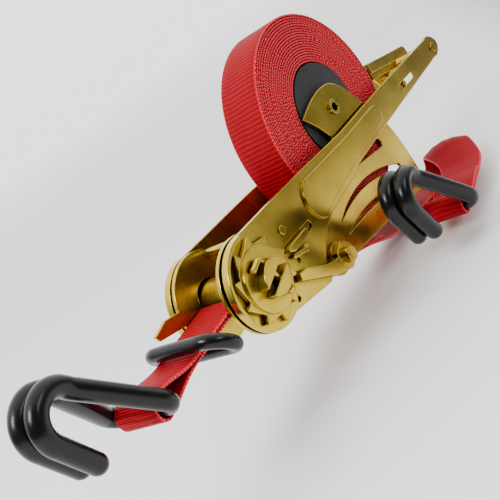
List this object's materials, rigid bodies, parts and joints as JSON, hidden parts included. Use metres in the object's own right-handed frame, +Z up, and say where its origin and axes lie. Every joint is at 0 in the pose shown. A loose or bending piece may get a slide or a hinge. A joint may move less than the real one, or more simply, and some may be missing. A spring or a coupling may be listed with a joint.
{
  "type": "ratchet strap",
  "caption": "Retractable ratchet strap: a toothed spindle and swinging lever between plates, a spring reel of webbing, a keeper ring and a double hook on each strap end",
  "frame": {"origin": "centre of the hollow reel axle, midway between the frame plates", "axes": "+X runs from the ratchet spindle along the closed handle to its grip, +Z is up with the handle level, and -Y is the side the rear hook lies on"},
  "size_m": [0.3771, 0.0943, 0.1394],
  "materials": {
    "yellow_zinc": "yellow zinc plated",
    "black_coat": "satin black dip coating",
    "red_webbing": "ribbed woven",
    "hub_plastic": "matte",
    "spring_steel": "blued"
  },
  "bodies": {
    "frame": {"frame_plate_near": "yellow_zinc", "frame_plate_far": "yellow_zinc", "frame_front_bar": "yellow_zinc", "frame_rear_spacer": "yellow_zinc", "reel_axle": "yellow_zinc", "strap_run": "red_webbing", "front_strap": "red_webbing", "rear_strap": "red_webbing"},
    "lock_pawl": {"lock_pawl_near": "yellow_zinc", "lock_pawl_far": "yellow_zinc", "anchor_bolt": "yellow_zinc", "anchor_nuts": "yellow_zinc"},
    "handle": {"handle_plate_near": "yellow_zinc", "handle_plate_far": "yellow_zinc", "handle_spacer": "yellow_zinc", "handle_grip_bar": "yellow_zinc", "handle_stop_tabs": "yellow_zinc"},
    "drive": {"drive_pawl": "yellow_zinc", "drive_links": "yellow_zinc", "finger_pin": "yellow_zinc", "finger_plate": "yellow_zinc"},
    "spindle": {"spindle_half_upper": "yellow_zinc", "spindle_half_lower": "yellow_zinc", "spindle_cotters": "yellow_zinc", "ratchet_wheel_near": "yellow_zinc", "ratchet_wheel_far": "yellow_zinc", "strap_in_spindle": "red_webbing"},
    "reel": {"reel_hub": "hub_plastic", "reel_cover": "hub_plastic", "reel_spring": "spring_steel", "strap_coil": "red_webbing"},
    "ring": {"keeper_ring": "black_coat"},
    "front_hook_body": {"front_hook": "black_coat"},
    "rear_hook_body": {"rear_hook": "black_coat"}
  },
  "joints": [
    {"name": "spindle_turn", "type": "hinge", "parent": "frame", "child": "spindle", "pos_m": [-0.1204, 0, -0.0232], "axis": [0, 1, 0], "continuous": true},
    {"name": "handle_swing", "type": "hinge", "parent": "frame", "child": "handle", "pos_m": [-0.1204, 0, -0.0232], "axis": [0, -1, 0], "range_deg": [0, 115]},
    {"name": "drive_slide", "type": "slide", "parent": "handle", "child": "drive", "axis": [0.9976, 0, -0.0698], "range_m": [0, 0.006]},
    {"name": "lock_turn", "type": "hinge", "parent": "frame", "child": "lock_pawl", "pos_m": [-0.067, 0, -0.0505], "axis": [0, -1, 0], "range_deg": [0, 12]},
    {"name": "reel_spin", "type": "hinge", "parent": "frame", "child": "reel", "pos_m": [0, 0, 0], "axis": [0, 1, 0], "continuous": true},
    {"name": "ring_slide", "type": "slide", "parent": "frame", "child": "ring", "axis": [1, 0, 0], "range_m": [-0.002, 0.004]},
    {"name": "front_hook_swing", "type": "hinge", "parent": "frame", "child": "front_hook_body", "pos_m": [-0.1949, -0.00135, -0.0226], "axis": [-0.1637, 0.9847, 0.0598], "range_deg": [-50, 40]},
    {"name": "rear_hook_swing", "type": "hinge", "parent": "frame", "child": "rear_hook_body", "pos_m": [-0.012, -0.047, -0.0707], "axis": [-0.1082, 0.9932, 0.042], "range_deg": [-50, 40]}
  ]
}
